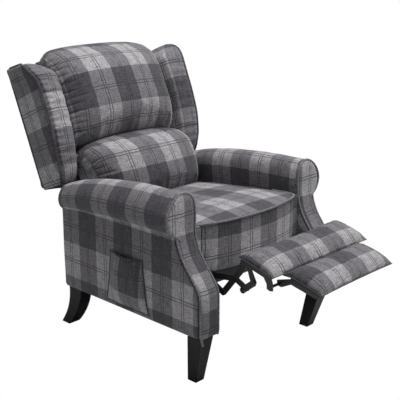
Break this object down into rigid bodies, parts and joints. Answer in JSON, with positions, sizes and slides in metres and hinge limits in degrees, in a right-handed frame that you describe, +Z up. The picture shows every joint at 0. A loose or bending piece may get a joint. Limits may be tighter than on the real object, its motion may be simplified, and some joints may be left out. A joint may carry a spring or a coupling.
{
  "type": "recliner",
  "caption": "Wing-back push-back recliner with scroll arms, boxed seat, two-part fold-out footrest, side pocket and swept rear legs.",
  "frame": {"origin": "on the floor under the middle of the chair as pictured, footrest out and back leaning", "axes": "+Z up; the sitter faces -Y; +X is the sitter's left; +Y runs back from the footrest to the top of the back"},
  "size_m": [0.708, 1.1797, 0.9226],
  "materials": {
    "checked_fabric": "woven, matte, grey and white check",
    "black_wood": "black satin lacquer",
    "frame_timber": "raw sawn timber and plywood",
    "black_steel": "black satin powder coat",
    "zinc_steel": "zinc plated",
    "spring_steel": "drawn wire",
    "black_cloth": "thin non-woven cloth",
    "webbing": "elastic webbing",
    "nylon": "white nylon"
  },
  "bodies": {
    "base": {"left_arm_frame": "frame_timber", "right_arm_frame": "frame_timber", "left_arm_cover": "checked_fabric", "right_arm_cover": "checked_fabric", "left_arm_facing": "checked_fabric", "right_arm_facing": "checked_fabric", "side_pocket": "checked_fabric", "front_left_leg": "black_wood", "front_right_leg": "black_wood", "rear_left_leg": "black_wood", "rear_right_leg": "black_wood", "leg_bolts": "zinc_steel", "rear_base_rail": "frame_timber", "base_tie_tube": "black_steel", "glide_channels": "black_steel"},
    "seat": {"seat_frame": "frame_timber", "frame_spacers": "zinc_steel", "frame_bolts": "zinc_steel", "seat_springs": "spring_steel", "seat_dust_cloth": "black_cloth", "seat_cushion": "checked_fabric", "seat_front_border": "checked_fabric", "front_border_board": "frame_timber", "side_plates": "black_steel", "cross_tube": "black_steel", "slide_blocks": "nylon", "side_plate_pins": "zinc_steel"},
    "back": {"back_frame": "frame_timber", "back_webbing": "webbing", "lumbar_cushion": "checked_fabric", "head_pillow": "checked_fabric", "left_wing_cover": "checked_fabric", "right_wing_cover": "checked_fabric", "left_wing_board": "frame_timber", "right_wing_board": "frame_timber", "wing_battens": "frame_timber", "outer_back": "checked_fabric", "back_brackets": "black_steel", "back_top_pad": "checked_fabric", "wing_foot_cloths": "black_cloth"},
    "rockers": {"rocker_links": "black_steel", "knee_rivets": "zinc_steel"},
    "long_links": {"long_links": "black_steel", "scissor_rivets": "zinc_steel"},
    "cross_links": {"cross_links": "black_steel", "cross_pins": "zinc_steel"},
    "footrest": {"hanger_rivets": "zinc_steel", "footrest_brackets": "black_steel", "footrest_board": "frame_timber", "footrest_pad": "checked_fabric", "elbow_rivets": "zinc_steel", "flip_pins": "zinc_steel"},
    "short_links": {"short_links": "black_steel"},
    "flipper": {"flipper_brackets": "black_steel", "flipper_board": "frame_timber", "flipper_pad": "checked_fabric"}
  },
  "joints": [
    {"name": "seat_glide", "type": "slide", "parent": "base", "child": "seat", "axis": [0, -1, 0], "range_m": [-0.0049, 0.0151]},
    {"name": "back_recline", "type": "hinge", "parent": "seat", "child": "back", "pos_m": [0, 0.213, 0.345], "axis": [-1, 0, 0], "range_deg": [-8, 25]},
    {"name": "footrest_fold", "type": "hinge", "parent": "seat", "child": "rockers", "pos_m": [0, -0.127, 0.34], "axis": [1, 0, 0], "range_deg": [0, 71.4]},
    {"name": "long_link_turn", "type": "hinge", "parent": "rockers", "child": "long_links", "pos_m": [0, -0.26, 0.271], "axis": [1, 0, 0], "range_deg": [-75.4, 0]},
    {"name": "cross_link_turn", "type": "hinge", "parent": "long_links", "child": "cross_links", "pos_m": [0, -0.301, 0.323], "axis": [1, 0, 0], "range_deg": [0, 81.7]},
    {"name": "footrest_turn", "type": "hinge", "parent": "long_links", "child": "footrest", "pos_m": [0, -0.337, 0.37], "axis": [1, 0, 0], "range_deg": [0, 80]},
    {"name": "short_link_turn", "type": "hinge", "parent": "footrest", "child": "short_links", "pos_m": [0, -0.379, 0.333], "axis": [1, 0, 0], "range_deg": [-104.9, 0]},
    {"name": "flipper_turn", "type": "hinge", "parent": "footrest", "child": "flipper", "pos_m": [0, -0.437, 0.336], "axis": [1, 0, 0], "range_deg": [0, 166.1]}
  ],
  "couplings": [
    {"joint": "seat_glide", "follows": "back_recline", "m_per_rad": 0.034377},
    {"joint": "long_link_turn", "follows": "footrest_fold", "ratio": -1.0551},
    {"joint": "cross_link_turn", "follows": "footrest_fold", "ratio": 1.1435},
    {"joint": "footrest_turn", "follows": "footrest_fold", "ratio": 1.1193},
    {"joint": "short_link_turn", "follows": "footrest_fold", "ratio": -1.4682},
    {"joint": "flipper_turn", "follows": "footrest_fold", "ratio": 2.3244}
  ]
}
